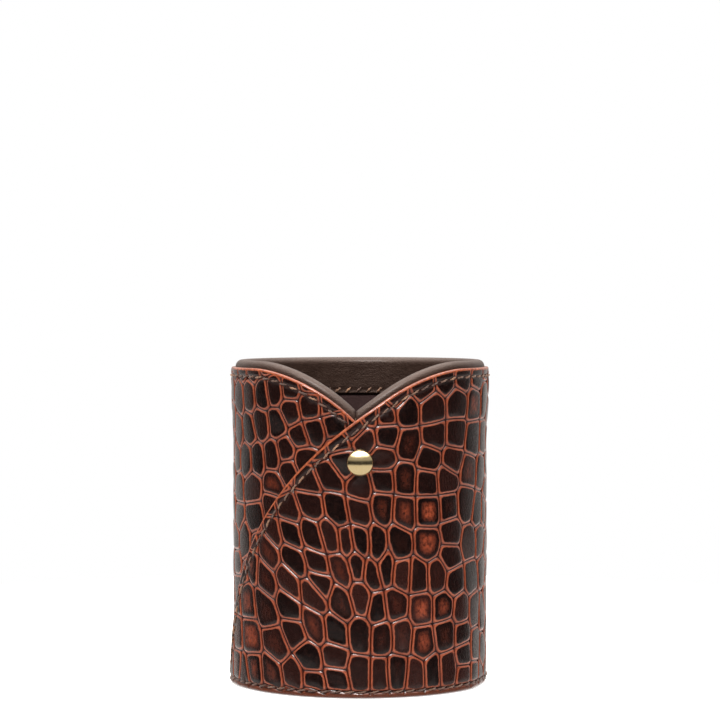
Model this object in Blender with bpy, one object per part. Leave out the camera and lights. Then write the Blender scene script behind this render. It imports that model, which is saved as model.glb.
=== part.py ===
"""Leather dice cup.

A stiff board tube is closed below by a board disc and wrapped in one embossed leather sheet. The
sheet's two ends are cut on long curves and cross at the front, where a brass stud holds them. A
smooth leather facing is folded over the tube's rim and follows the notch that the ends leave.

The frame is in metres with +Z up. The origin is on the cup's axis, at the underside of its base, and
the front, with the stud, faces -Y. "Along" means a distance along the sheet, measured round the cup.
"""

import math

import bmesh
import bpy

MM = 0.001

# Whole cup
WRAP_TOP = 97.6 * MM  # upper edge of the embossed sheet at the sides and back
WRAP_BOTTOM = 0.3 * MM
SHEET_RADIUS = 40.1 * MM  # radius at which the sheet's own distances are measured
CROSSING_ALONG = -1.4 * MM  # the sheet's two ends cross this far left of the front centre line
COLUMN_STEP = math.radians(5.0)

# Embossed sheet
SHEET_THICKNESS = 1.1 * MM
SINGLE_LAYER_RADIUS = 39.4 * MM  # outside of the sheet where it lies on the tube
LAYER_STEP = 1.3 * MM  # how far the over-flap stands out where it lies on the under-flap
LAYER_CLEARANCE = 1.0 * MM  # the over-flap is fully out this far past the under-flap's edge
LAYER_RAMP = 8.0 * MM  # and back on the tube this much further on
RIM_FLARE = 0.65 * MM  # how far the facing's tucked leg pushes the sheet out
FLARE_FULL_TO = 7.0 * MM  # below the rim line
FLARE_NONE_FROM = 12.0 * MM
FLAP_TIP_HEIGHT = 2.0 * MM
SHEET_ROWS = 12

# Stiff parts
TUBE_INNER_RADIUS = 36.1 * MM
TUBE_OUTER_RADIUS = 37.85 * MM
TUBE_BOTTOM = 1.5 * MM
TUBE_ROWS = 3
TUBE_BELOW_FACING = 2.1 * MM  # from the top of the facing down to the tube's end
BASE_COVER_THICKNESS = 1.2 * MM
BASE_COVER_RADIUS = 37.9 * MM
BASE_BOARD_RADIUS = 35.9 * MM
BASE_BOARD_THICKNESS = 2.5 * MM

# Facing and lining
FACING_THICKNESS = 0.65 * MM
FACING_RISE = 2.15 * MM  # square to the sheet's edge
FACING_INNER_RADIUS = 34.75 * MM
FACING_OUTER_RADIUS = 38.7 * MM
FACING_INNER_DEPTH = 11.8 * MM
FACING_OUTER_DEPTH = 5.0 * MM
FACING_ARC_POINTS = 6
SEAM_GAP = 0.3 * MM
LINING_INNER_RADIUS = 35.5 * MM
LINING_OUTER_RADIUS = 35.95 * MM
LINING_BELOW_FACING = 3.0 * MM
FLOOR_LINING_RADIUS = 35.3 * MM
FLOOR_LINING_THICKNESS = 0.8 * MM

# Brass stud
STUD_HEIGHT = 70.1 * MM
STUD_HEAD_RADIUS = 4.0 * MM
STUD_HEAD_DEPTH = 2.9 * MM
STUD_EDGE = 0.35 * MM  # straight part of the head, next to the leather
STUD_POST_RADIUS = 1.2 * MM
STUD_BARREL_INNER_RADIUS = 1.35 * MM
STUD_BARREL_RADIUS = 1.85 * MM
STUD_HOLE_RADIUS = 2.0 * MM
STUD_PLATE_RADIUS = 3.5 * MM
STUD_PLATE_THICKNESS = 0.5 * MM
STUD_POCKET_RADIUS = 3.8 * MM
STUD_POCKET_DEPTH = 0.8 * MM
STUD_SIDES = 32
STUD_CLEARANCE = 0.1 * MM

# Thread
THREAD_RADIUS = 0.3 * MM
THREAD_CLEARANCE = 0.3 * MM
THREAD_SIDES = 6
EDGE_STITCH_INSET = 2.6 * MM
BASE_STITCH_HEIGHT = 2.1 * MM
FACING_STITCH_UP = 1.1 * MM  # above the facing's lower edge
FLAP_SEAM_STEPS = 28

GAP = 0.3 * MM  # between pieces that touch


class FlapEdge:
    """Edge of one end of the sheet, laid flat: level at the rim, then an arc and a wider arc down
    across the front to the base. Distances start at the crossing and grow towards its own side."""

    def __init__(self, level_from, first_radius, first_turn, second_radius):
        self.level_from = level_from
        self.first_radius = first_radius
        self.second_radius = second_radius
        self.first_run = first_radius * math.sin(first_turn)
        self.second_start = self.first_run - second_radius * math.sin(first_turn)
        self.second_depth = (first_radius - second_radius) * (1 - math.cos(first_turn)) + second_radius

    def height(self, along):
        run = max(self.level_from - along, 0.0)
        if run <= self.first_run:
            return WRAP_TOP - self.first_radius + math.sqrt(self.first_radius**2 - run**2)
        reach_squared = self.second_radius**2 - (run - self.second_start) ** 2
        return WRAP_TOP - self.second_depth + math.sqrt(max(reach_squared, 0.0))

    def tilt(self, along):
        """Angle of the edge against the horizontal."""
        run = max(self.level_from - along, 0.0)
        if run <= self.first_run:
            return math.asin(run / self.first_radius)
        return math.asin((run - self.second_start) / self.second_radius)

    def along_at(self, height):
        """Where the edge has come down to a height on its second arc."""
        reach = height - WRAP_TOP + self.second_depth
        return self.level_from - self.second_start - math.sqrt(self.second_radius**2 - reach**2)


OVER_EDGE = FlapEdge(38.7 * MM, 53.0 * MM, math.radians(31.7), 160.0 * MM)
UNDER_EDGE = FlapEdge(36.8 * MM, 52.0 * MM, math.radians(43.6), 126.0 * MM)

CROSSING_ANGLE = CROSSING_ALONG / SHEET_RADIUS
COLUMNS_ROUND = round(math.tau / COLUMN_STEP)


def smooth_step(low, high, value):
    share = min(max((value - low) / (high - low), 0.0), 1.0)
    return share * share * (3 - 2 * share)


def on_cup(radius, angle, height):
    """The point at an angle from the front centre line, positive towards +X."""
    return (radius * math.sin(angle), -radius * math.cos(angle), height)


def side_of_crossing(angle):
    """The edge that shows at an angle of one turn, and the distance along it."""
    turn = (angle - CROSSING_ANGLE) % math.tau
    if turn <= math.pi:
        return OVER_EDGE, turn * SHEET_RADIUS
    return UNDER_EDGE, (math.tau - turn) * SHEET_RADIUS


def rim_line(angle):
    """Height of the sheet's edge at the rim, which dips to the crossing at the front."""
    edge, along = side_of_crossing(angle)
    return edge.height(along)


def facing_top(angle):
    edge, along = side_of_crossing(angle)
    return edge.height(along) + FACING_RISE / math.cos(edge.tilt(along))


def wall_radius(angle, height):
    """Outside of the sheet where one layer of it lies on the tube."""
    below = rim_line(angle) - height
    return SINGLE_LAYER_RADIUS + RIM_FLARE * (1 - smooth_step(FLARE_FULL_TO, FLARE_NONE_FROM, below))


def sheet_radius(angle, height):
    """Outside of the sheet. The angle runs on past one turn at the under-flap, and starts below
    the crossing at the over-flap, which lies on it."""
    radius = wall_radius(angle, height)
    if angle <= CROSSING_ANGLE:
        return radius + LAYER_STEP
    if angle > CROSSING_ANGLE + math.pi:
        return radius
    past = height - UNDER_EDGE.height((CROSSING_ANGLE - angle) * SHEET_RADIUS) - LAYER_CLEARANCE
    return radius + LAYER_STEP * (1 - smooth_step(0.0, LAYER_RAMP, past))


def clear_scene():
    for leftover in list(bpy.data.objects):
        bpy.data.objects.remove(leftover, do_unlink=True)


def make_material(name, colour, roughness, metallic=0.0):
    material = bpy.data.materials.new(name)
    material.use_nodes = True
    shader = material.node_tree.nodes["Principled BSDF"]
    shader.inputs["Base Color"].default_value = (*colour, 1.0)
    shader.inputs["Roughness"].default_value = roughness
    shader.inputs["Metallic"].default_value = metallic
    return material


def loft(name, rings, material, closed=False):
    """A solid through rings of equal length. Its ends are capped unless it closes on itself."""
    solid = bmesh.new()
    loops = [[solid.verts.new(point) for point in ring] for ring in rings]
    pairs = list(zip(loops, loops[1:]))
    if closed:
        pairs.append((loops[-1], loops[0]))
    else:
        solid.faces.new(loops[0])
        solid.faces.new(loops[-1])
    for first, second in pairs:
        for here in range(len(first)):
            ahead = (here + 1) % len(first)
            solid.faces.new((first[here], first[ahead], second[ahead], second[here]))
    bmesh.ops.recalc_face_normals(solid, faces=solid.faces)
    mesh = bpy.data.meshes.new(name)
    solid.to_mesh(mesh)
    solid.free()
    mesh.shade_smooth()
    mesh.set_sharp_from_angle(angle=math.radians(35))
    mesh.materials.append(material)
    made = bpy.data.objects.new(name, mesh)
    bpy.context.scene.collection.objects.link(made)
    return made


def ring_angles(start_gap=0.0):
    """Angles of one turn from the crossing. A gap keeps the two ends of a rolled strip apart."""
    angles = [CROSSING_ANGLE + column * COLUMN_STEP for column in range(COLUMNS_ROUND)]
    if not start_gap:
        return angles
    angles[0] += start_gap / SHEET_RADIUS / 2
    return angles + [CROSSING_ANGLE + math.tau - start_gap / SHEET_RADIUS / 2]


def disc(name, radius, low, high, material):
    """A flat round piece on the cup's axis."""
    rings = [
        [on_cup(radius, CROSSING_ANGLE + column * COLUMN_STEP, height) for column in range(COLUMNS_ROUND)]
        for height in (low, high)
    ]
    return loft(name, rings, material)


def turned_forward(name, stations, material):
    """A round piece on the stud's axis, from (distance in front of the cup's axis, radius) pairs."""
    rings = []
    for forward, radius in stations:
        turns = [math.tau * side / STUD_SIDES for side in range(STUD_SIDES)]
        rings.append(
            [(radius * math.cos(t), -forward, STUD_HEIGHT + radius * math.sin(t)) for t in turns]
        )
    return loft(name, rings, material)


def tube_along(name, path, material):
    """A thread along a path, as a curve with a round bevel and filled ends."""
    curve = bpy.data.curves.new(name, "CURVE")
    curve.dimensions = "3D"
    curve.bevel_depth = THREAD_RADIUS
    curve.bevel_resolution = THREAD_SIDES // 2 - 2
    curve.use_fill_caps = True
    spline = curve.splines.new("POLY")
    spline.points.add(len(path) - 1)
    for point, place in zip(spline.points, path):
        point.co = (*place, 1.0)
    curve.materials.append(material)
    thread = bpy.data.objects.new(name, curve)
    bpy.context.scene.collection.objects.link(thread)
    return thread


def cut_with(piece, name, stations):
    """Takes a round hole on the stud's axis out of a piece."""
    cutter = turned_forward(name, stations, piece.data.materials[0])
    cutter.hide_render = True
    cutter.display_type = "WIRE"
    hole = piece.modifiers.new(name, "BOOLEAN")
    hole.operation = "DIFFERENCE"
    hole.solver = "EXACT"
    hole.object = cutter


def make_outer_wrap(material):
    """The embossed sheet: one piece from the over-flap's tip, round the back, to the under-flap's
    tip, which lies under the over-flap at the front."""
    over_tip = CROSSING_ANGLE + OVER_EDGE.along_at(FLAP_TIP_HEIGHT) / SHEET_RADIUS
    under_tip = CROSSING_ANGLE + math.tau - UNDER_EDGE.along_at(FLAP_TIP_HEIGHT) / SHEET_RADIUS
    columns = range(-COLUMNS_ROUND // 2, 2 * COLUMNS_ROUND)
    inside = [CROSSING_ANGLE + column * COLUMN_STEP for column in columns]
    inside = [angle for angle in inside if over_tip < angle < under_tip]
    rings = []
    for angle in [over_tip, *inside, under_tip]:
        from_over = (angle - CROSSING_ANGLE) * SHEET_RADIUS
        from_under = math.tau * SHEET_RADIUS - from_over
        top = min(OVER_EDGE.height(from_over), UNDER_EDGE.height(from_under))
        heights = [WRAP_BOTTOM + (top - WRAP_BOTTOM) * row / SHEET_ROWS for row in range(SHEET_ROWS + 1)]
        outside = [(sheet_radius(angle, height), height) for height in heights]
        back = [(radius - SHEET_THICKNESS, height) for radius, height in reversed(outside)]
        rings.append([on_cup(radius, angle, height) for radius, height in outside + back])
    wrap = loft("outer_wrap", rings, material)
    cut_with(wrap, "wrap_stud_hole", [(37.0 * MM, STUD_HOLE_RADIUS), (42.0 * MM, STUD_HOLE_RADIUS)])


def make_core_tube(material):
    """The board tube, notched at the front, with a pocket inside for the stud's back plate."""
    rings = []
    for angle in ring_angles():
        top = facing_top(angle) - TUBE_BELOW_FACING
        heights = [TUBE_BOTTOM + (top - TUBE_BOTTOM) * row / TUBE_ROWS for row in range(TUBE_ROWS + 1)]
        outside = [on_cup(TUBE_OUTER_RADIUS, angle, height) for height in heights]
        rings.append(outside + [on_cup(TUBE_INNER_RADIUS, angle, height) for height in reversed(heights)])
    tube = loft("core_tube", rings, material, closed=True)
    cut_with(tube, "tube_stud_hole", [(35.0 * MM, STUD_HOLE_RADIUS), (39.0 * MM, STUD_HOLE_RADIUS)])
    pocket_floor = TUBE_INNER_RADIUS + STUD_POCKET_DEPTH
    cut_with(tube, "tube_stud_pocket", [(34.0 * MM, STUD_POCKET_RADIUS), (pocket_floor, STUD_POCKET_RADIUS)])


def facing_profile(angle):
    """Section of the facing at an angle: a hook over the tube's end, as (radius, height) pairs."""
    top = facing_top(angle)
    middle = (FACING_OUTER_RADIUS + FACING_INNER_RADIUS) / 2
    half = (FACING_OUTER_RADIUS - FACING_INNER_RADIUS) / 2

    def bow(half_width, crown, depth_in, depth_out):
        """One face of the hook, from the foot of its inner leg to the foot of its outer leg."""
        turns = [math.pi * step / FACING_ARC_POINTS for step in range(FACING_ARC_POINTS + 1)]
        arc = [
            (middle - half_width * math.cos(turn), crown - FACING_RISE * (1 - math.sin(turn)))
            for turn in turns
        ]
        return [(arc[0][0], top - depth_in), *arc, (arc[-1][0], top - depth_out)]

    outer_depth = FACING_RISE + FACING_OUTER_DEPTH
    outside = bow(half, top, FACING_INNER_DEPTH, outer_depth)
    back = bow(half - FACING_THICKNESS, top - FACING_THICKNESS, FACING_INNER_DEPTH, outer_depth)
    return outside + back[::-1]


def make_rim_facing(material):
    """The smooth leather strip folded over the rim. Its two ends meet at the bottom of the notch."""
    rings = []
    for angle in ring_angles(SEAM_GAP):
        rings.append([on_cup(radius, angle, height) for radius, height in facing_profile(angle)])
    loft("rim_facing", rings, material)


def make_wall_lining(material):
    """The suede strip rolled inside the tube, with its seam at the front."""
    low = base_board_top() + GAP
    rings = []
    for angle in ring_angles(SEAM_GAP):
        high = facing_top(angle) - LINING_BELOW_FACING
        corners = (
            (LINING_OUTER_RADIUS, low),
            (LINING_OUTER_RADIUS, high),
            (LINING_INNER_RADIUS, high),
            (LINING_INNER_RADIUS, low),
        )
        rings.append([on_cup(radius, angle, height) for radius, height in corners])
    loft("wall_lining", rings, material)


def base_board_top():
    return TUBE_BOTTOM + BASE_BOARD_THICKNESS


def make_base(board, leather, suede):
    disc("base_cover", BASE_COVER_RADIUS, 0.0, BASE_COVER_THICKNESS, leather)
    disc("base_board", BASE_BOARD_RADIUS, TUBE_BOTTOM, base_board_top(), board)
    floor = base_board_top() + GAP
    disc("floor_lining", FLOOR_LINING_RADIUS, floor, floor + FLOOR_LINING_THICKNESS, suede)


def make_stud(brass):
    """A domed cap on a post, and the plate whose barrel takes the post from inside the tube."""
    seat = sheet_radius(0.0, STUD_HEIGHT + STUD_HEAD_RADIUS) + STUD_CLEARANCE
    plate = TUBE_INNER_RADIUS + STUD_PLATE_THICKNESS + 2 * STUD_CLEARANCE
    post_end = plate + STUD_PLATE_THICKNESS
    dome_steps = 6
    dome = []
    for step in range(dome_steps):
        turn = math.pi / 2 * step / dome_steps
        depth = STUD_EDGE + (STUD_HEAD_DEPTH - STUD_EDGE) * math.sin(turn)
        dome.append((seat + depth, STUD_HEAD_RADIUS * math.cos(turn)))
    post = [(post_end, STUD_POST_RADIUS), (seat, STUD_POST_RADIUS), (seat, STUD_HEAD_RADIUS)]
    turned_forward("stud_cap", post + dome, brass)
    barrel_end = TUBE_OUTER_RADIUS - STUD_CLEARANCE
    plate_back = plate - STUD_PLATE_THICKNESS
    stations = [
        (plate, STUD_BARREL_INNER_RADIUS),
        (barrel_end, STUD_BARREL_INNER_RADIUS),
        (barrel_end, STUD_BARREL_RADIUS),
        (plate, STUD_BARREL_RADIUS),
        (plate, STUD_PLATE_RADIUS),
        (plate_back, STUD_PLATE_RADIUS),
    ]
    turned_forward("stud_back", stations, brass)


def over_surface(angle, height):
    """Centre of a thread that lies on the sheet's outside."""
    radius = sheet_radius(angle, height) + THREAD_CLEARANCE + THREAD_RADIUS
    return on_cup(radius, angle, height)


def below_edge(edge, angle, along):
    """Centre of a thread that follows an edge of the sheet at the seam's distance from it."""
    height = edge.height(along) - EDGE_STITCH_INSET / math.cos(edge.tilt(along))
    return over_surface(angle, height)


def make_edge_thread(material):
    """The seam along the sheet's edge: from the crossing round the back to the crossing again, and
    on down the over-flap's edge until it meets the seam round the foot."""
    path = []
    for angle in reversed(ring_angles()[1:]):
        edge, along = side_of_crossing(angle)
        path.append(below_edge(edge, angle, along))
    foot = base_seam_start() + 2 * THREAD_RADIUS
    for step in range(FLAP_SEAM_STEPS + 1):
        along = foot * step / FLAP_SEAM_STEPS
        path.append(below_edge(OVER_EDGE, CROSSING_ANGLE + along / SHEET_RADIUS, along))
    tube_along("edge_thread", path, material)


def base_seam_start():
    """Where the seam round the foot starts on the over-flap, as a distance from the crossing."""
    return OVER_EDGE.along_at(BASE_STITCH_HEIGHT) + EDGE_STITCH_INSET


def make_base_thread(material):
    """The seam round the foot of the sheet, from the over-flap's tip to where it passes beneath."""
    start = CROSSING_ANGLE + base_seam_start() / SHEET_RADIUS
    turns = math.tau - 2 * EDGE_STITCH_INSET / SHEET_RADIUS
    angles = [start + turns * step / COLUMNS_ROUND for step in range(COLUMNS_ROUND + 1)]
    tube_along("base_thread", [over_surface(angle, BASE_STITCH_HEIGHT) for angle in angles], material)


def make_facing_thread(material):
    """The seam round the foot of the facing, inside the cup."""
    radius = FACING_INNER_RADIUS - THREAD_CLEARANCE - THREAD_RADIUS
    path = []
    for angle in ring_angles(4 * THREAD_RADIUS):
        height = facing_top(angle) - FACING_INNER_DEPTH + FACING_STITCH_UP
        path.append(on_cup(radius, angle, height))
    tube_along("facing_thread", path, material)


def main():
    clear_scene()
    embossed = make_material("embossed_leather", (0.055, 0.014, 0.008), 0.28)
    smooth = make_material("smooth_leather", (0.045, 0.025, 0.018), 0.45)
    suede = make_material("suede", (0.040, 0.020, 0.018), 0.95)
    board = make_material("board", (0.35, 0.27, 0.18), 0.9)
    brass = make_material("brass", (0.86, 0.66, 0.30), 0.18, 1.0)
    thread = make_material("thread", (0.16, 0.07, 0.035), 0.7)
    make_outer_wrap(embossed)
    make_core_tube(board)
    make_rim_facing(smooth)
    make_wall_lining(suede)
    make_base(board, smooth, suede)
    make_stud(brass)
    make_edge_thread(thread)
    make_base_thread(thread)
    make_facing_thread(thread)


main()
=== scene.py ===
"""Leather dice cup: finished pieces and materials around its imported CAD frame.

The cup is wrapped in one sheet of leather that is embossed like crocodile skin. The sheet's ends
cross at the front under a brass stud, and a smooth leather facing is folded over the rim.

Lengths in this file are in millimetres until a mesh, a light or the camera is made. "Along" means a
distance along the sheet, measured round the cup from the front centre line, positive towards +X.
"""

import math

import bmesh
import bpy
import numpy as np
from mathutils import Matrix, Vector
from mathutils.geometry import delaunay_2d_cdt


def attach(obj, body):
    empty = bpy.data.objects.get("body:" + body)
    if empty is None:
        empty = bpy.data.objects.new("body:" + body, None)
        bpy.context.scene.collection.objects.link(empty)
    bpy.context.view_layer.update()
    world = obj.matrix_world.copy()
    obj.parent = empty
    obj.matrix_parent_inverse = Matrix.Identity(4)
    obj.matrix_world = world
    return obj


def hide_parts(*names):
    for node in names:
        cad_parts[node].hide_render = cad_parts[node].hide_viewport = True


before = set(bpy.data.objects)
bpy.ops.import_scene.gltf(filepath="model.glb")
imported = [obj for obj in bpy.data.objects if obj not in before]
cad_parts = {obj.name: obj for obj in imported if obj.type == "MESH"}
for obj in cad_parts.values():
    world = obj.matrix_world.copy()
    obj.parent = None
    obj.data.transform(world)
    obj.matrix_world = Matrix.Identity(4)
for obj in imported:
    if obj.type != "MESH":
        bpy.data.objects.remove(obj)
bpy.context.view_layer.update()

MM = 0.001

# Whole cup
WRAP_TOP = 97.6
WRAP_BOTTOM = 0.3  # the base cover shows below it
SHEET_RADIUS = 40.1  # radius at which the sheet's own distances are measured
TURN = math.tau * SHEET_RADIUS
CROSSING_ALONG = -1.4  # where the two ends cross at the rim

# Embossed sheet
SHEET_THICKNESS = 1.1
SINGLE_LAYER_RADIUS = 39.4
LAYER_STEP = 1.3  # how much further out the over-flap lies
LAYER_CLEARANCE = 1.0
LAYER_RAMP = 14.0  # past the hidden edge, the over-flap comes down within this distance
RIM_FLARE = 0.65  # how far the facing under the sheet pushes it out
FLARE_FULL_TO = 7.0  # below the rim
FLARE_NONE_FROM = 22.0

# Stiff parts
BASE_COVER_RADIUS = 37.9
BASE_COVER_THICKNESS = 1.2
BASE_BOARD_TOP = 4.0
GAP = 0.3

# Facing and lining
FACING_THICKNESS = 0.65
FACING_RISE = 2.15  # above the sheet's edge
FACING_INNER_RADIUS = 34.75
FACING_OUTER_RADIUS = 38.7
FACING_INNER_DEPTH = 11.8
FACING_OUTER_DEPTH = 5.0
FACING_CHANNEL = 0.16  # how deep its seam presses in
FACING_BACK_CHANNEL = 0.06
FACING_CHANNEL_HALF_WIDTH = 0.55
FACING_WAVE = 0.09
FACING_STATIONS = 361  # sections round the cup
SEAM_GAP = 0.3
LINING_INNER_RADIUS = 35.5
LINING_OUTER_RADIUS = 35.95
LINING_BELOW_FACING = 3.0
LINING_PLUMP = 0.35  # the suede swells this much where the facing's hem no longer holds it
LINING_WAVE = 0.05
LINING_STATIONS = 181
LINING_FINE_FROM = 10.0  # its rings are dense from this far below its top, where the hem crosses
FLOOR_LINING_RADIUS = 35.3
FLOOR_LINING_THICKNESS = 0.8

# Stud
STUD_HEIGHT = 70.1
STUD_HEAD_RADIUS = 4.0
STUD_HEAD_DEPTH = 2.9
STUD_EDGE = 0.35
STUD_NECK = 0.3
STUD_POST_RADIUS = 1.2
STUD_HOLE_RADIUS = 2.0
STUD_POST_END = 37.3
STUD_SIDES = 72
DISC_SIDES = 120
STUD_DOME_RINGS = 19
STUD_CLEARANCE = 0.1

# Seams
EDGE_STITCH_INSET = 2.6
EDGE_STITCH_PITCH = 3.65
BASE_STITCH_HEIGHT = 2.1
FACING_STITCH_UP = 1.1
FACING_STITCH_PITCH = 3.9
CHANNEL_DEPTH = 0.28
CHANNEL_HALF_WIDTH = 0.5
PATH_STEP = 0.25
STITCH_LENGTH = (0.76, 0.84)  # shares of the pitch
STITCH_LEAN = 3.0  # spread, in degrees
STITCH_SLANT = 10  # degrees from the seam's line
FACING_STITCH_SLANT = -38
STITCH_RINGS = 9
STITCH_SIDES = 6
STITCH_TURNS = 1.1  # of its two strands round each other
STITCH_DIP = 0.40  # depth of a stitch's ends below the leather
STITCH_ARCH = 0.55
STRAND_OFFSET = 0.65  # of the strand's radius, from the stitch's middle line
THREAD_SEAT = 0.22  # height of the seams' middle lines above the channel and the facing
FACING_THREAD_SEAT = -0.1

# Embossing
CREASE_DEPTH = 0.6
SHOULDER_WIDTH = 1.05
RING_DISTANCES = (0.15, 0.38, 0.7, 1.1, 1.9)  # from a scale's crease
HIDDEN_RING_DISTANCES = (0.5, 1.1)
RING_SEARCHES = 11  # halvings that place each ring
RING_REACH = 0.86  # the innermost ring lies at most this share of the way to the middle
HIDDEN_DEPTH = 5.0  # the sheet is out of sight this far under the over-flap
SAMPLE_STEP = 0.95  # between points along a crease
SIDE_BULGE = 0.022  # spread of the creases' bow, as a share of their length
DOME = (-0.02, 0.14)  # least and most rise of a scale's top
DOME_SPAN = (0.7, 3.0)  # distance from the crease where the dome begins and is full
LEAN_SPREAD = 0.016
LEAN_SPAN = (0.5, 1.1)
CORNER_REACH = (0.2, 1.4, 1.3)  # rounding at a scale's corners: at the crease, its growth, at most
GRID_STEP = 0.25
MERGE_DISTANCE = 1.0
BORDER = 6.0  # scales further than this outside the cut are left out
EDGE_ROUNDING = 0.9  # bevelled band along the sheet's cut edges
EDGE_DROP = 0.45
EDGE_CUTS = (0.3, 0.65, 1.05, 2.1, 2.6, 3.1)  # lines of points that follow the sheet's edge
FOOT_CUTS = (0.35, 0.8)
WELD = 2e-3
BACK_STEP = 4.0  # between the points of the sheet's plain back
BACK_LOW = (-60, 4)
BACK_HIGH = (314, 97)
JOIN_WITHIN = 1e-4
ON_HOLE_EDGE = 0.999  # triangles nearer the stud than this share of its hole's radius are dropped
INSIDE_OUTLINE = 1  # delaunay_2d_cdt keeps only the triangles that lie inside the outline
BACK_CREASE = 3.0  # distances that give the back the look of a scale's top
BACK_FOOT = 9.0

# Scales that fill the sheet round the listed ones
SHEET_LOW = (-82.0, -16.0)
SHEET_HIGH = (TURN + 82.0, 114.0)
FLOW_REACH = 8.0
COLUMNS_AT_ONCE = 4.0
SCALE_REACH = 22.0
FILL_TRIES = 9000
FILL_SPACINGS = (1.0, 0.9, 0.8, 0.72)  # least distances between centres, in scale sizes, in turn
FILL_ROUNDS = 5
LISTED_OVER = 49.0  # the listed scales cover the sheet's front this far along
LISTED_UNDER = 53.0
LISTED_UNDER_DEPTH = 4.0
MIRRORED_BELOW = 9.0  # listed scales lower than this are mirrored below the foot's seam
RUBBED_SHARE = 0.13
RUBBED_RANGE = (0.2, 0.9)

# Camera and light, in metres
CAMERA_LENS_MM = 124.8
CAMERA_PLACE = (0.0, -0.777, 0.117)
CAMERA_DOWN = 1.285  # degrees below level
SOFTBOX_PLACE = (-0.12, -0.50, 0.72)
SOFTBOX_TARGET = (0.0, 0.0, 0.05)
SOFTBOX_SIZE = (0.36, 0.25)
SOFTBOX_WATTS = 6.5
FLOOR_RADIUS = 0.3
LIGHT_TINT = (1.0, 0.92, 0.87)

# Glow of the studio by direction, added up: axis, where it starts, where it is full, least and most
WORLD_GLOW = (
    ("Y", 0.05, 0.95, 0.03, 0.6),
    ("Z", 0.08, 0.30, 0.0, 0.33),
    ("Z", 0.50, 0.90, 0.0, 4.5),
    ("Z", -0.13, -0.28, 0.0, 0.65),
)

# Size and lean of the embossed scales where they differ: along, height, width, length, lean in degrees
SCALE_FLOW = (
    (45, 85, 9.0, 9.5, 5), (30, 60, 8.5, 8.5, 8), (18, 88, 8.0, 9.0, 15), (8, 70, 5.5, 6.0, 0),
    (35, 35, 8.5, 9.0, 0), (40, 8, 5.5, 8.5, 0), (4, 44, 4.0, 8.5, -5), (9, 28, 5.0, 8.0, 0),
    (-12, 64, 6.5, 10.5, -36), (-20, 52, 6.5, 10.5, -32), (-28, 32, 6.0, 10.5, -38),
    (-15, 32, 5.5, 10.5, -38), (-14, 18, 6.0, 9.0, -26), (-27, 14, 6.5, 9.5, -24), (-42, 10, 7.5, 9.0, -5),
    (2, 6, 6.5, 9.0, 0), (75, 70, 8.0, 8.5, 0), (75, 20, 6.5, 8.5, 0), (126, 55, 9.0, 8.5, 0),
    (126, 10, 7.0, 9.0, 0), (172, 55, 8.0, 9.0, 0), (217, 90, 6.5, 8.5, -12), (233, 80, 7.5, 8.0, -12),
    (210, 78, 6.8, 8.8, -12), (214, 62, 7.0, 8.5, -14), (203, 60, 7.2, 8.8, -8), (203, 30, 8.0, 8.5, 0),
)

# Scales at the front of the over-flap, in rows from the foot up: along, height and, where its middle
# is rubbed red, how much
OVER_SCALES = (
    (-48, 6, 0.6), (-36.5, 6.5, 0.7), (-28.5, 6, 0.4), (-20.5, 6), (-14, 4), (-6.5, 5), (0, 7.5), (6, 7.5),
    (11, 8, 0.2), (17, 6.5), (22.5, 7), (28.5, 7.5), (35.5, 4.5), (42.5, 4),
    (-48, 17, 0.3), (-38, 16.5, 0.8), (-27, 15.5, 0.2), (-15.5, 12), (-7, 12), (0.5, 18.5), (6.5, 18, 0.2),
    (12, 18, 0.25), (19.5, 16, 0.9), (27.5, 18, 0.2), (35, 17.5), (35.5, 11.5), (43, 13), (52, 10),
    (-40.5, 27.5, 0.65), (-30.5, 25.5, 0.15), (-20, 19), (-13.5, 21.5, 0.5), (-7, 19.5), (-22, 26.5),
    (-5.5, 28.5, 0.25), (0.5, 30), (5, 27), (10.5, 28, 0.25), (18.5, 27, 1.0), (26.5, 26.5, 0.7), (34.5, 25),
    (42.5, 24), (52, 22.5),
    (-38, 39, 0.6), (-31, 34.5, 0.2), (-22, 34), (-14, 30), (-11.5, 34.5), (-5.5, 38, 0.5), (-1, 39.5),
    (3.5, 36.5), (8, 38.5), (12.5, 36.5), (18, 35.5), (24, 35.5, 0.1), (31.5, 34), (40.5, 34), (51.5, 36),
    (-30, 43, 0.35), (-20.5, 41), (-13, 40), (-28.5, 49.5), (-21.5, 48.5), (-14, 48), (-8.5, 48), (-4, 46.5),
    (0, 47), (5, 46), (11.5, 46, 0.1), (20.5, 45.5, 0.9), (30, 41), (30.5, 48.5), (39.5, 44.5),
    (-23, 56.5), (-15, 58), (-6.5, 55.5), (0, 55.5), (6.5, 57.5, 0.5), (13, 55.5, 0.75), (21, 55.5, 1.0),
    (29.5, 56, 0.15), (38, 56.5), (47, 54),
    (-16.5, 65), (-8.5, 66), (0, 62.7), (6.5, 65), (13, 65, 0.35), (21, 64), (29, 64.3), (40, 66.5, 0.3),
    (50, 66),
    (-5, 70), (-6.5, 75), (6.5, 71.5), (14.5, 75.5, 0.2), (22, 70.7), (32, 70.3), (1.5, 76.7), (7.5, 77.8),
    (24, 77.5), (33, 77.8), (42.5, 76), (52, 76),
    (-1.5, 81), (3, 84.5), (7.5, 84.5), (14, 85.5), (23, 86.3), (33, 87), (42.5, 87, 0.6), (51.5, 88),
    (10.5, 89.5), (20, 92.5), (28, 94.5), (36, 95.5), (44.5, 95.5),
)

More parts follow.
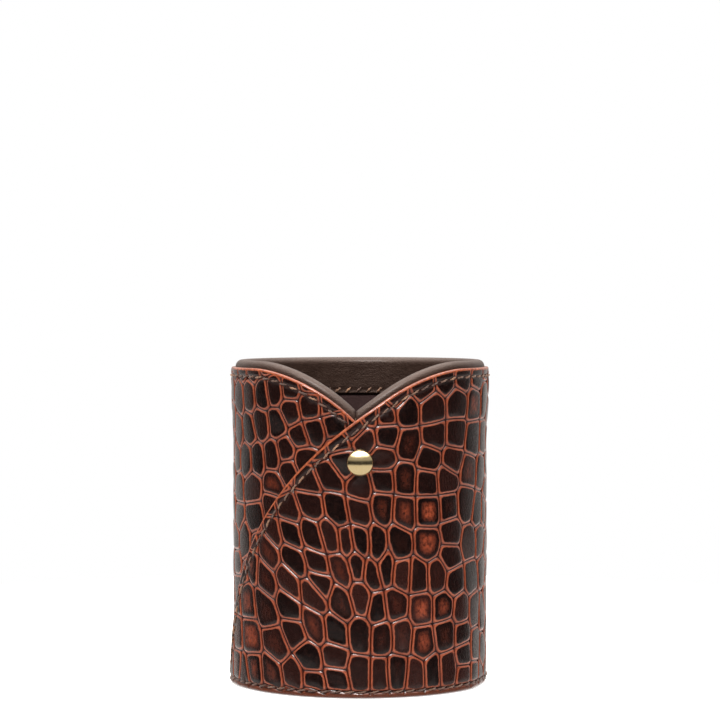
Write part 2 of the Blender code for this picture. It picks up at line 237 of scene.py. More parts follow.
# Scales of the under-flap that show to the left of the crossing, along less one turn
UNDER_SCALES = (
    (-48, 89), (-40, 89.5), (-33.5, 90), (-28, 91), (-22, 92), (-22, 85), (-15.5, 87), (-9, 87),
    (-49.5, 78.5), (-41, 78.5), (-34.5, 81), (-27.5, 81.3), (-19, 77.5), (-14.5, 79.5), (-7.5, 81.5),
    (-52, 70), (-43, 70), (-37, 70.5), (-29.5, 71.5), (-24, 73), (-18, 70.7), (-23, 67.5),
    (-50, 60.5), (-39, 61), (-29, 62.5, 0.6), (-38, 53.5), (-29.5, 56.5),
    (-50, 52), (-45, 44.5), (-53, 45), (-52.5, 38), (-52, 30),
)


class FlapEdge:
    """Edge of one end of the sheet, laid flat: level at the rim, then an arc and a wider arc down
    across the front to the base. Distances start at the crossing and grow towards its own side."""

    def __init__(self, level_from, first_radius, first_turn, second_radius):
        self.level_from = level_from
        self.first_radius = first_radius
        self.first_turn = first_turn
        self.second_radius = second_radius
        self.first_run = first_radius * math.sin(first_turn)
        self.second_start = self.first_run - second_radius * math.sin(first_turn)
        self.second_depth = (first_radius - second_radius) * (1 - math.cos(first_turn)) + second_radius

    def height(self, along):
        run = np.maximum(self.level_from - np.asarray(along, float), 0.0)
        first = WRAP_TOP - self.first_radius + np.sqrt(np.maximum(self.first_radius**2 - run**2, 0.0))
        reach = np.maximum(self.second_radius**2 - (run - self.second_start) ** 2, 0.0)
        second = WRAP_TOP - self.second_depth + np.sqrt(reach)
        return np.where(run <= self.first_run, first, second)

    def tilt(self, along):
        """Angle of the edge against the horizontal."""
        run = np.maximum(self.level_from - np.asarray(along, float), 0.0)
        first = np.arcsin(np.clip(run / self.first_radius, 0.0, 1.0))
        second = np.arcsin(np.clip((run - self.second_start) / self.second_radius, 0.0, 1.0))
        return np.where(run <= self.first_run, first, second)

    def along_at(self, height):
        """Where the edge has come down to a height on its second arc."""
        reach = height - WRAP_TOP + self.second_depth
        return self.level_from - self.second_start - math.sqrt(self.second_radius**2 - reach**2)

    def inside(self, along, height):
        """How far a point of the flat sheet lies from the edge, positive on the sheet."""
        run = self.level_from - along
        depth = WRAP_TOP - height
        first = self.first_radius - np.hypot(run, depth - self.first_radius)
        second = self.second_radius - np.hypot(run - self.second_start, depth - self.second_depth)
        turn = np.arctan2(run, self.first_radius - depth)
        return np.where(run <= 0.0, depth, np.where(turn <= self.first_turn, first, second))


OVER_EDGE = FlapEdge(38.7, 53.0, math.radians(31.7), 160.0)
UNDER_EDGE = FlapEdge(36.8, 52.0, math.radians(43.6), 126.0)
CROSSING_ANGLE = CROSSING_ALONG / SHEET_RADIUS


def flat_grid(alongs, heights):
    return np.stack(np.meshgrid(alongs, heights, indexing="ij"), axis=-1).reshape(-1, 2)


def smooth_step(low, high, value):
    share = np.clip((value - low) / (high - low), 0.0, 1.0)
    return share * share * (3 - 2 * share)


def on_cup(radius, angle, height):
    """Points at an angle from the front centre line, positive towards +X."""
    radius, angle, height = np.broadcast_arrays(radius, angle, height)
    return np.stack((radius * np.sin(angle), -radius * np.cos(angle), height), axis=-1).astype(float)


def by_side(angle, measure):
    """measure(edge, along) for the edge that shows at each angle of one turn."""
    turn = (np.asarray(angle, float) - CROSSING_ANGLE) % math.tau
    over = measure(OVER_EDGE, turn * SHEET_RADIUS)
    under = measure(UNDER_EDGE, (math.tau - turn) * SHEET_RADIUS)
    return np.where(turn <= math.pi, over, under)


def rim_line(angle):
    """Height of the sheet's edge at the rim, which dips to the crossing at the front."""
    return by_side(angle, lambda edge, along: edge.height(along))


def rim_tilt(angle):
    return by_side(angle, lambda edge, along: edge.tilt(along))


def facing_top(angle):
    return rim_line(angle) + FACING_RISE / np.cos(rim_tilt(angle))


def sheet_radius(angle, height):
    """Outside of the sheet. The angle runs on past one turn at the under-flap, and starts below
    the crossing at the over-flap, which lies on it."""
    angle = np.asarray(angle, float)
    flare = 1 - smooth_step(FLARE_FULL_TO, FLARE_NONE_FROM, rim_line(angle) - height)
    wall = SINGLE_LAYER_RADIUS + RIM_FLARE * flare
    past = -UNDER_EDGE.inside((CROSSING_ANGLE - angle) * SHEET_RADIUS, height) - LAYER_CLEARANCE
    over = LAYER_STEP * (1 - smooth_step(0.0, LAYER_RAMP, past))
    raised = np.where(angle <= CROSSING_ANGLE, LAYER_STEP, over)
    return wall + np.where(angle > CROSSING_ANGLE + math.pi, 0.0, raised)


def sheet_inside(along, height):
    """Distance from the sheet's upper cut edge, which runs down to the foot at both flaps."""
    over = OVER_EDGE.inside(along - CROSSING_ALONG, height)
    under = UNDER_EDGE.inside(CROSSING_ALONG + TURN - along, height)
    return np.where(along <= CROSSING_ALONG + TURN / 2, over, under)


# --- Materials ---------------------------------------------------------------------------------


class Nodes:
    """The nodes of a material or world, built up with short calls."""

    def __init__(self, owner):
        owner.use_nodes = True
        self.nodes = owner.node_tree.nodes
        self.links = owner.node_tree.links

    def node(self, kind, **inputs):
        made = self.nodes.new(kind)
        for socket, value in inputs.items():
            self.feed(made.inputs[socket.replace("_", " ")], value)
        return made

    def feed(self, socket, value):
        if isinstance(value, bpy.types.NodeSocket):
            self.links.new(value, socket)
        elif isinstance(value, tuple) and len(value) == 3 and socket.type == "RGBA":
            socket.default_value = (*value, 1.0)
        else:
            socket.default_value = value

    def span(self, value, low, high, to_low=0.0, to_high=1.0):
        """A value taken smoothly from one range to another and kept within it."""
        span = self.nodes.new("ShaderNodeMapRange")
        span.interpolation_type = "SMOOTHSTEP"
        for socket, given in zip(span.inputs, (value, low, high, to_low, to_high)):
            self.feed(socket, given)
        return span.outputs["Result"]

    def maths(self, operation, *values):
        maths = self.nodes.new("ShaderNodeMath")
        maths.operation = operation
        for socket, value in zip(maths.inputs, values):
            self.feed(socket, value)
        return maths.outputs[0]

    def mix(self, share, first, second):
        """One colour taken into another by a share."""
        mix = self.nodes.new("ShaderNodeMix")
        mix.data_type = "RGBA"
        for place, value in ((0, share), (6, first), (7, second)):
            self.feed(mix.inputs[place], value)
        return mix.outputs[2]


class Finish(Nodes):
    """A node material. Its patterns are sized in millimetres."""

    def __init__(self, name, **shader):
        self.material = bpy.data.materials.new(name)
        super().__init__(self.material)
        self.shader = self.nodes["Principled BSDF"]
        self.set(**shader)

    def set(self, **sockets):
        for socket, value in sockets.items():
            self.feed(self.shader.inputs[socket.replace("_", " ")], value)

    def stretched(self, places, x, y, z):
        stretch = self.nodes.new("ShaderNodeVectorMath")
        stretch.operation = "MULTIPLY"
        self.links.new(places, stretch.inputs[0])
        stretch.inputs[1].default_value = (x, y, z)
        return stretch.outputs["Vector"]

    def places(self):
        """Positions on the object in millimetres."""
        scaled = self.nodes.new("ShaderNodeVectorMath")
        scaled.operation = "SCALE"
        self.links.new(self.nodes.new("ShaderNodeTexCoord").outputs["Object"], scaled.inputs[0])
        scaled.inputs["Scale"].default_value = 1 / MM
        return scaled.outputs["Vector"]

    def noise(self, places, per_mm, detail=3.0, rough=0.55):
        noise = self.node("ShaderNodeTexNoise", Vector=places, Scale=per_mm, Detail=detail, Roughness=rough)
        return noise.outputs["Fac"]

    def cells(self, places, per_mm):
        return self.node("ShaderNodeTexVoronoi", Vector=places, Scale=per_mm).outputs["Distance"]

    def attribute(self, name):
        found = self.nodes.new("ShaderNodeAttribute")
        found.attribute_name = name
        return found.outputs["Fac"]

    def bumps(self, *layers):
        """Adds bump layers, given as (height socket, depth in mm), finest last."""
        normal = None
        for height, depth in layers:
            bump = self.node("ShaderNodeBump", Height=height, Strength=1.0, Distance=depth * MM)
            if normal is not None:
                self.links.new(normal, bump.inputs["Normal"])
            normal = bump.outputs["Normal"]
        self.links.new(normal, self.shader.inputs["Normal"])


def embossed_leather():
    """Glazed antique leather: dark scale tops painted lighter towards the foot as if lit from the floor,
    rubbed red-brown shoulders with a painted highlight along each ridge, and dark creases with painted
    shade.
    """
    made = Finish(
        "embossed_leather",
        Coat_Weight=0.85,
        Coat_Roughness=0.11,
        Coat_IOR=1.5,
        Specular_IOR_Level=0.05,
    )
    places = made.places()
    crease = made.attribute("crease_distance")
    edge = made.attribute("edge_distance")
    foot = made.attribute("foot_distance")
    tone = made.attribute("scale_tone")
    rubbed = made.attribute("scale_rubbed")
    cloud = made.noise(places, 0.22)
    mottle = made.noise(places, 0.9, detail=5.0)
    grain = made.noise(places, 5.0, detail=4.0)
    streak = made.noise(made.stretched(places, 1.1, 1.1, 0.8), 1.1, detail=6.0, rough=0.65)

    # Scale tops: a random tone per scale, made lighter towards the foot as painted light from the pale floor
    # below.
    tone_and_painted_floor_light = made.maths("MULTIPLY", tone, made.span(foot, 15.0, 85.0, 1.0, 0.5))
    top = made.mix(tone_and_painted_floor_light, (0.0028, 0.0008, 0.0007), (0.0160, 0.0042, 0.0030))
    top = made.mix(made.span(mottle, 0.45, 0.75, 0.0, 0.3), top, (0.028, 0.0075, 0.0045))
    middle = made.span(crease, 1.35, 3.3)
    middle = made.maths("MULTIPLY", middle, made.span(streak, 0.26, 0.68))
    middle = made.maths("MULTIPLY", middle, made.maths("POWER", rubbed, 1.4))
    top = made.mix(middle, top, (0.190, 0.037, 0.015))

    wander = made.maths("MULTIPLY_ADD", mottle, 0.5, -0.25)
    wide = made.maths("ADD", crease, wander)
    wall = made.mix(cloud, (0.075, 0.012, 0.005), (0.150, 0.029, 0.010))
    shoulder = made.mix(cloud, (0.080, 0.014, 0.006), (0.190, 0.040, 0.016))
    shoulder = made.mix(made.span(grain, 0.35, 0.7, 0.0, 0.5), shoulder, (0.055, 0.009, 0.004))
    shoulder = made.mix(made.span(wide, 0.16, 0.30), wall, shoulder)
    # A thin paler line where each shoulder bends into the top: a painted highlight on the ridge.
    painted_ridge_highlight = made.maths("MULTIPLY", made.span(wide, 0.34, 0.48), made.span(cloud, 0.3, 0.7, 0.35, 1.0))
    shoulder = made.mix(painted_ridge_highlight, shoulder, (0.250, 0.066, 0.032))
    colour = made.mix(made.span(wide, 0.46, 0.86), shoulder, top)
    # Nearly black along the creases: dark dye settled in them, with painted shade over it.
    colour = made.mix(made.span(crease, 0.10, 0.24), (0.014, 0.0020, 0.0012), colour)

    channel = made.maths("ABSOLUTE", made.maths("SUBTRACT", edge, EDGE_STITCH_INSET))
    foot_channel = made.maths("ABSOLUTE", made.maths("SUBTRACT", foot, BASE_STITCH_HEIGHT - WRAP_BOTTOM))
    channel = made.maths("MINIMUM", channel, foot_channel)
    colour = made.mix(made.span(channel, 0.25, 0.75, 0.75, 0.0), colour, (0.018, 0.006, 0.004))
    band = made.mix(made.span(mottle, 0.3, 0.7), (0.27, 0.068, 0.025), (0.14, 0.030, 0.012))
    colour = made.mix(made.span(edge, 0.5, 0.85), band, colour)
    foot_band = made.mix(mottle, (0.036, 0.009, 0.004), (0.085, 0.020, 0.008))
    colour = made.mix(made.span(foot, 0.9, 1.5), foot_band, colour)

    rough = made.span(mottle, 0.35, 0.7, 0.30, 0.46)
    rough = made.maths("ADD", rough, made.span(crease, 0.25, 1.0, 0.08, 0.0))
    wrinkles = made.noise(made.stretched(places, 1.0, 1.0, 0.55), 1.3, detail=5.0, rough=0.6)
    pores = made.cells(places, 3.4)
    made.bumps((wrinkles, 0.16), (pores, 0.035), (grain, 0.03))
    made.set(Base_Color=colour, Roughness=rough)
    return made.material


def smooth_leather():
    """Dark brown fine-grained leather of the facing and the base."""
    made = Finish(
        "smooth_leather",
        Coat_Weight=0.2,
        Coat_Roughness=0.28,
        Coat_Tint=(1.0, 0.93, 0.88),
        Specular_IOR_Level=0.35,
        Specular_Tint=(1.0, 0.80, 0.70),
    )
    places = made.places()
    cloud = made.noise(places, 0.12)
    mottle = made.noise(places, 1.1, detail=5.0)
    pebbles = made.cells(places, 2.6)
    pores = made.noise(places, 7.0, detail=3.0)
    colour = made.mix(cloud, (0.0170, 0.0088, 0.0062), (0.0300, 0.0165, 0.0120))
    colour = made.mix(made.span(mottle, 0.5, 0.8, 0.0, 0.5), colour, (0.050, 0.029, 0.022))
    rough = made.span(mottle, 0.3, 0.7, 0.40, 0.54)
    wrinkles = made.noise(made.stretched(places, 0.5, 0.5, 1.4), 0.8, detail=4.0)
    made.bumps((wrinkles, 0.12), (pebbles, 0.07), (pores, 0.03))
    made.set(Base_Color=colour, Roughness=rough)
    return made.material


def suede():
    """Dark purplish brown napped lining."""
    made = Finish(
        "suede",
        Roughness=0.95,
        Sheen_Weight=0.2,
        Sheen_Roughness=0.5,
        Sheen_Tint=(0.55, 0.38, 0.36),
        Specular_IOR_Level=0.2,
    )
    places = made.places()
    nap = made.noise(made.stretched(places, 1.0, 1.0, 0.6), 3.2, detail=6.0, rough=0.7)
    brushed = made.noise(places, 0.16, detail=4.0)
    colour = made.mix(brushed, (0.020, 0.010, 0.010), (0.040, 0.021, 0.020))
    colour = made.mix(made.span(nap, 0.4, 0.75, 0.0, 0.6), colour, (0.058, 0.032, 0.030))
    made.bumps((nap, 0.22))
    made.set(Base_Color=colour)
    return made.material


def board():
    """Grey-brown pressed board."""
    made = Finish("board", Roughness=0.92)
    places = made.places()
    fibres = made.noise(made.stretched(places, 1.0, 1.0, 6.0), 0.9, detail=6.0, rough=0.65)
    flecks = made.noise(places, 4.0, detail=4.0)
    colour = made.mix(fibres, (0.22, 0.165, 0.11), (0.40, 0.31, 0.215))
    colour = made.mix(made.span(flecks, 0.6, 0.75, 0.0, 0.5), colour, (0.14, 0.10, 0.07))
    made.bumps((fibres, 0.12), (flecks, 0.04))
    made.set(Base_Color=colour)
    return made.material


def brass():
    """Polished brass with faint handling marks."""
    made = Finish("brass", Metallic=1.0)
    places = made.places()
    smear = made.noise(places, 0.7, detail=5.0)
    dents = made.noise(places, 1.2, detail=3.0)
    colour = made.mix(smear, (0.92, 0.73, 0.36), (0.98, 0.84, 0.50))
    rough = made.span(smear, 0.3, 0.8, 0.15, 0.20)
    made.bumps((dents, 0.004))
    made.set(Base_Color=colour, Roughness=rough)
    return made.material


def thread():
    """Waxed brown thread, paler where it is rubbed and where a painted highlight stands for its glint."""
    made = Finish("thread", Roughness=0.6, Sheen_Weight=0.2)
    places = made.places()
    wear_and_glint = made.attribute("stitch_wear_and_glint")
    fuzz = made.noise(places, 6.0, detail=4.0)
    colour = made.mix(wear_and_glint, (0.040, 0.014, 0.007), (0.33, 0.165, 0.080))
    colour = made.mix(made.span(fuzz, 0.35, 0.7, 0.0, 0.5), colour, (0.09, 0.040, 0.022))
    made.bumps((fuzz, 0.05))
    made.set(Base_Color=colour)
    return made.material


# --- Making pieces -----------------------------------------------------------------------------


def add_piece(name, mesh, material, replaced):
    mesh.shade_smooth()
    mesh.materials.append(material)
    piece = bpy.data.objects.new(name, mesh)
    bpy.context.scene.collection.objects.link(piece)
    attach(piece, "root")
    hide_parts(*replaced)
    return piece


def mesh_from(name, points, faces):
    mesh = bpy.data.meshes.new(name)
    mesh.from_pydata((np.asarray(points) * MM).tolist(), [], faces)
    return mesh


def store(mesh, name, domain, values):
    attribute = mesh.attributes.new(name, "FLOAT", domain)
    attribute.data.foreach_set("value", np.asarray(values, np.float32))


def declare_sheet(flat, area=None):
    """Takes a sheet's flat cut size, and its area where that isn't a rectangle, into metres; nothing is done
    with them.
    """
    flat = (flat[0] * MM, flat[1] * MM)
    area = area and area * MM * MM


def tube_faces(first, rings, count):
    """Faces of a capped tube through rings of count points, numbered on from first."""
    faces = []
    for here in range(first, first + (rings - 1) * count, count):
        for side in range(count):
            ahead = (side + 1) % count
            faces.append((here + side, here + ahead, here + count + ahead, here + count + side))
    faces.append(tuple(range(first, first + count)))
    faces.append(tuple(range(first + (rings - 1) * count, first + rings * count)))
    return faces


def loft(name, rings, sharp=None):
    """A capped solid through rings of equal length."""
    mesh = mesh_from(name, np.concatenate(rings), tube_faces(0, len(rings), len(rings[0])))
    outward(mesh)
    if sharp is not None:
        mesh.shade_smooth()
        mesh.set_sharp_from_angle(angle=math.radians(sharp))
    return mesh


def outward(mesh):
    """Turns the faces of a closed mesh outwards."""
    work = bmesh.new()
    work.from_mesh(mesh)
    bmesh.ops.recalc_face_normals(work, faces=work.faces)
    work.to_mesh(mesh)
    work.free()


# --- Embossed sheet ----------------------------------------------------------------------------


def scale_frame(points):
    """Cosine and sine of the scales' lean, and their width and length, at points of the sheet."""
    flow = np.array(SCALE_FLOW, float)
    apart = ((points[:, None, :] - flow[None, :, :2]) ** 2).sum(axis=2)
    share = 1 / (apart + FLOW_REACH**2) ** 2
    share /= share.sum(axis=1, keepdims=True)
    lean = np.radians(share @ flow[:, 4])
    return np.cos(lean), np.sin(lean), share @ flow[:, 2], share @ flow[:, 3]


def scale_apart(frame_here, offset):
    """Squared distances in units of the local scale size."""
    cosine, sine, width, length = frame_here
    across = (offset[..., 0] * cosine - offset[..., 1] * sine) / width
    down = (offset[..., 0] * sine + offset[..., 1] * cosine) / length
    return across**2 + down**2


def owner_grid(seeds, step):
    """Grid of points over the flat sheet, and the seed whose scale each point belongs to."""
    alongs, heights = [np.arange(low, high, step) for low, high in zip(SHEET_LOW, SHEET_HIGH)]
    owners = np.empty((len(alongs), len(heights)), int)
    strip = max(1, int(COLUMNS_AT_ONCE / step))
    for start in range(0, len(alongs), strip):
        columns = alongs[start : start + strip]
        near = np.flatnonzero(np.abs(seeds[:, 0] - columns.mean()) < SCALE_REACH)
        points = flat_grid(columns, heights)
        here = [part[:, None] for part in scale_frame(points)]
        apart = scale_apart(here, points[:, None, :] - seeds[None, near, :])
        owners[start : start + strip] = near[apart.argmin(axis=1)].reshape(len(columns), len(heights))
    return alongs, heights, owners


def fill_places(rng):
    """Random places on the sheet, apart from where the listed scales lie in sight."""
    tries = rng.uniform(SHEET_LOW, SHEET_HIGH, (FILL_TRIES, 2))
    along, height = tries.T
    under = (along > TURN - LISTED_UNDER) & (hidden_under_flap(along, height) < LISTED_UNDER_DEPTH)
    listed = (np.abs(along) < LISTED_OVER) | under
    return tries[~(listed & (sheet_inside(along, height) > 0) & (height > BASE_STITCH_HEIGHT))]


def place_scales(rng):
    """Centres of all scales of the sheet, and how much each one's middle is rubbed."""
    placed = [(*scale, 0.0)[:3] for scale in OVER_SCALES]
    placed += [(scale[0] + TURN, *(*scale, 0.0)[1:3]) for scale in UNDER_SCALES]
    low = [scale for scale in placed if scale[1] < MIRRORED_BELOW]
    placed = np.array(placed + [(along, 2 * BASE_STITCH_HEIGHT - height, 0.0) for along, height, _ in low])
    fixed = placed[:, :2]

    tries = fill_places(rng)
    frames = np.stack(scale_frame(tries), axis=1)
    seeds = [*fixed]
    for least in FILL_SPACINGS:
        for point, here in zip(tries, frames):
            if scale_apart(here, np.array(seeds) - point).min() > least**2:
                seeds.append(point)
    seeds = np.array(seeds)

    for _ in range(FILL_ROUNDS):
        alongs, heights, owners = owner_grid(seeds, 1.0)
        points = flat_grid(alongs, heights)
        owners = owners.reshape(-1)
        counts = np.maximum(np.bincount(owners, minlength=len(seeds)), 1)
        middles = [np.bincount(owners, points[:, axis], len(seeds)) / counts for axis in (0, 1)]
        seeds[len(fixed) :] = np.stack(middles, axis=1)[len(fixed) :]
    chosen = rng.random(len(seeds)) < RUBBED_SHARE
    rubbed = np.where(chosen, rng.uniform(*RUBBED_RANGE, len(seeds)), 0.0)
    rubbed[: len(fixed)] = placed[:, 2]
    return seeds, rubbed


def find_corners(seeds):
    """Points where three or more scales meet, and the scales that meet there."""
    alongs, heights, owners = owner_grid(seeds, GRID_STEP)
    blocks = np.stack([owners[:-1, :-1], owners[1:, :-1], owners[:-1, 1:], owners[1:, 1:]], axis=-1)
    distinct = 1 + (np.diff(np.sort(blocks, axis=-1), axis=-1) != 0).sum(axis=-1)
    places = []
    meeting = []
    weights = []
    for column, row in np.argwhere(distinct >= 3):
        place = np.array((alongs[column], heights[row])) + GRID_STEP / 2
        scales = set(blocks[column, row].tolist())
        if places:
            apart = np.hypot(*(np.array(places) - place).T)
            nearest = int(apart.argmin())
            if apart[nearest] < MERGE_DISTANCE:
                weights[nearest] += 1
                places[nearest] = places[nearest] + (place - places[nearest]) / weights[nearest]
                meeting[nearest] |= scales
                continue
        places.append(place)
        meeting.append(scales)
        weights.append(1)
    border = set(owners[0]) | set(owners[-1]) | set(owners[:, 0]) | set(owners[:, -1])
    return np.array(places), meeting, border


def crease_distance(points, pieces, starts):
    """Distance from points to the nearest side of a scale, less towards its corners, so that lines
    of equal distance turn them in a curve. pieces are the sides' short lengths, side after side."""
    first, step = pieces
    offset = points[:, None, :] - first[None]
    share = (offset * step).sum(axis=2) / (step * step).sum(axis=1)
    offset = offset - np.clip(share, 0.0, 1.0)[..., None] * step
    apart = np.minimum.reduceat(np.hypot(offset[..., 0], offset[..., 1]), starts, axis=1)
    apart.sort(axis=1)
    nearest, second = apart[:, 0], apart[:, 1]
    least, growth, most = CORNER_REACH
    reach = np.minimum(least + growth * nearest, most)
    overlap = np.maximum(reach - (second - nearest), 0.0)
    return nearest - overlap**2 / (4 * reach)


def relief(distance):
    """Height of the embossing at a distance from the crease."""
    inner = 1 - np.clip(distance / SHOULDER_WIDTH, 0.0, 1.0)
    return -CREASE_DEPTH * (1 - np.sqrt(1 - inner**2))


class FlatSheet:
    """The embossed surface, laid flat, as points with their crease distance and relief."""

    def __init__(self, corners):
        self.points = [tuple(corner) for corner in corners]
        self.distance = [0.0] * len(corners)
        self.height = [-CREASE_DEPTH] * len(corners)
        self.faces = []
        self.face_scale = []
        self.sides = {}

    def add(self, points, distances, heights):
        first = len(self.points)
        self.points += [tuple(point) for point in points]
        self.distance += [float(distance) for distance in distances]
        self.height += [float(height) for height in heights]
        return list(range(first, first + len(points)))

    def side(self, start, end, rng):
        """Indices from one corner towards another, the last left out, shared by both scales."""
        key = (min(start, end), max(start, end))
        if key not in self.sides:
            first, last = np.array(self.points[key[0]]), np.array(self.points[key[1]])
            length = np.hypot(*(last - first))
            count = max(2, round(length / SAMPLE_STEP))
            even = np.arange(1, count) / count
            share = (even + (1 - np.cos(np.pi * even)) / 2) / 2
            bulge = rng.normal(0.0, SIDE_BULGE) * length
            square = np.array((first[1] - last[1], last[0] - first[0])) / max(length, 1e-6)
            points = first + share[:, None] * (last - first)
            points = points + (4 * share * (1 - share) * bulge)[:, None] * square
            self.sides[key] = self.add(points, np.zeros(count - 1), np.full(count - 1, -CREASE_DEPTH))
        inner = self.sides[key]
        return [start, *(inner if start < end else inner[::-1])]

    def scale(self, index, corners, rng, hidden):
        """Fills one scale with rings at set distances from its crease and a fan in the middle."""
        sides = [self.side(a, b, rng) for a, b in zip(corners, corners[1:] + corners[:1])]
        painted_ridge_highlight = [vertex for side in sides for vertex in side]
        starts = np.cumsum([0] + [len(side) for side in sides[:-1]])
        outline = np.array([self.points[vertex] for vertex in painted_ridge_highlight])
        pieces = (outline, np.roll(outline, -1, axis=0) - outline)
        middle = outline.mean(axis=0)
        deepest = float(crease_distance(middle[None], pieces, starts)[0])
        levels = np.array(HIDDEN_RING_DISTANCES if hidden else RING_DISTANCES)
        levels = levels * min(1.0, RING_REACH * max(deepest, 0.2) / levels[-1])
        low = np.zeros((len(levels), len(painted_ridge_highlight)))
        high = np.ones_like(low)
        for _ in range(RING_SEARCHES):
            share = (low + high) / 2
            points = outline + share[..., None] * (middle - outline)
            found = crease_distance(points.reshape(-1, 2), pieces, starts).reshape(share.shape)
            inside = found < levels[:, None]
            low = np.where(inside, share, low)
            high = np.where(inside, high, share)
        share = (low + high) / 2
        points = outline + share[..., None] * (middle - outline)
        dome = rng.uniform(*DOME)
        lean = rng.normal(0.0, LEAN_SPREAD, 2)
        rings = [painted_ridge_highlight]
        for level, ring in zip(levels, points):
            rise = smooth_step(*DOME_SPAN, level) * dome
            rise = rise + smooth_step(*LEAN_SPAN, level) * ((ring - middle) @ lean)
            rings.append(self.add(ring, np.full(len(ring), level), relief(level) + rise))
        rise = dome * smooth_step(*DOME_SPAN, deepest)
        tip = self.add([middle], [deepest], [relief(deepest) + rise])[0]
        before = len(self.faces)
        for outer, inner in zip(rings, rings[1:]):
            for here in range(len(painted_ridge_highlight)):
                ahead = (here + 1) % len(painted_ridge_highlight)
                self.faces.append((outer[here], outer[ahead], inner[ahead], inner[here]))
        for here in range(len(painted_ridge_highlight)):
            self.faces.append((rings[-1][here], rings[-1][(here + 1) % len(painted_ridge_highlight)], tip))
        self.face_scale += [index] * (len(self.faces) - before)


def hidden_under_flap(along, height):
    """How far a point of the under-flap lies beneath the over-flap."""
    return np.where(
        along > TURN / 2 + CROSSING_ALONG, OVER_EDGE.inside(along - TURN - CROSSING_ALONG, height), -1.0
    )


def emboss(rng):
    """The flat sheet with all scales that lie on it, before it is cut out."""
    seeds, rubbed = place_scales(rng)
    corners, meeting, border = find_corners(seeds)
    around = {}
    for corner, scales in enumerate(meeting):
        for scale in scales:
            around.setdefault(scale, []).append(corner)
    sheet = FlatSheet(corners)
    for scale, found in sorted(around.items()):
        if scale in border or len(found) < 3:
            continue
        places = corners[found]
        inside = np.minimum(sheet_inside(places[:, 0], places[:, 1]), places[:, 1] - WRAP_BOTTOM)
        if inside.max() < -BORDER:
            continue
        middle = places.mean(axis=0)
        turns = np.arctan2(places[:, 1] - middle[1], places[:, 0] - middle[0])
        ordered = [found[place] for place in np.argsort(turns)]
        hidden = hidden_under_flap(places[:, 0], places[:, 1]).min() > HIDDEN_DEPTH
        sheet.scale(scale, ordered, rng, hidden)
    return sheet, rubbed


def cut_flat(work, field, level, clear):
    """Cuts the flat sheet along a line where a field of (along, height) has one level."""
    for vertex in work.verts:
        vertex.co.z = 0.0
    places = np.array([vertex.co[:2] for vertex in work.verts])
    for vertex, value in zip(work.verts, (field(places[:, 0], places[:, 1]) - level).tolist()):
        vertex.co.z = value
    bmesh.ops.bisect_plane(
        work,
        geom=[*work.verts, *work.edges, *work.faces],
        dist=1e-5,
        plane_co=(0, 0, 0),
        plane_no=(0, 0, 1),
        clear_inner=clear,
    )
    for vertex in work.verts:
        vertex.co.z = 0.0


def stud_distance(along, height):
    """Distance from the nearer of the two holes that the stud passes through."""
    first = np.hypot(along, height - STUD_HEIGHT)
    return np.minimum(first, np.hypot(along - TURN, height - STUD_HEIGHT))


def edge_shape(top_inside, foot_inside):
    """How far the surface drops at the rounded cut edges and in the stitching channels."""
    drop = np.zeros_like(top_inside)
    for inside, seam in ((top_inside, EDGE_STITCH_INSET), (foot_inside, BASE_STITCH_HEIGHT - WRAP_BOTTOM)):
        inner = 1 - np.clip(inside / EDGE_ROUNDING, 0.0, 1.0)
        drop = drop - EDGE_DROP * (1 - np.sqrt(1 - inner**2))
        drop = drop - CHANNEL_DEPTH * np.exp(-(((inside - seam) / CHANNEL_HALF_WIDTH) ** 2))
    return drop


def flat_mesh(sheet):
    """The flat sheet as a mesh to be cut, which carries crease distance, relief and scale numbers."""
    flat = bpy.data.meshes.new("flat_sheet")
    flat.from_pydata([(*point, 0.0) for point in sheet.points], [], sheet.faces)
    work = bmesh.new()
    work.from_mesh(flat)
    bpy.data.meshes.remove(flat)
    crease = work.verts.layers.float.new("crease_distance")
    height = work.verts.layers.float.new("height")
    scale_of = work.faces.layers.int.new("scale")
    for vertex, distance, raised in zip(work.verts, sheet.distance, sheet.height):
        vertex[crease] = distance
        vertex[height] = raised
    for face, scale in zip(work.faces, sheet.face_scale):
        face[scale_of] = scale
    loose = [vertex for vertex in work.verts if not vertex.link_faces]
    bmesh.ops.delete(work, geom=loose, context="VERTS")
    return work


def cut_out(work):
    """Cuts the outline and the stud's holes, and lines of points beside the edges."""
    cut_flat(work, sheet_inside, 0.0, True)
    cut_flat(work, lambda along, high: high, WRAP_BOTTOM, True)
    cut_flat(work, stud_distance, STUD_HOLE_RADIUS, True)
    for level in EDGE_CUTS:
        cut_flat(work, sheet_inside, level, False)
    for level in FOOT_CUTS:
        cut_flat(work, lambda along, high: high, WRAP_BOTTOM + level, False)
    bmesh.ops.remove_doubles(work, verts=work.verts, dist=WELD)
    bmesh.ops.triangulate(work, faces=work.faces)
    work.verts.ensure_lookup_table()


def rim_of(work):
    """The next point along the outline, for each point on it."""
    rim_next = {}
    for edge in work.edges:
        if len(edge.link_faces) == 1:
            loop = edge.link_loops[0]
            rim_next[loop.vert.index] = loop.link_loop_next.vert.index
    return rim_next


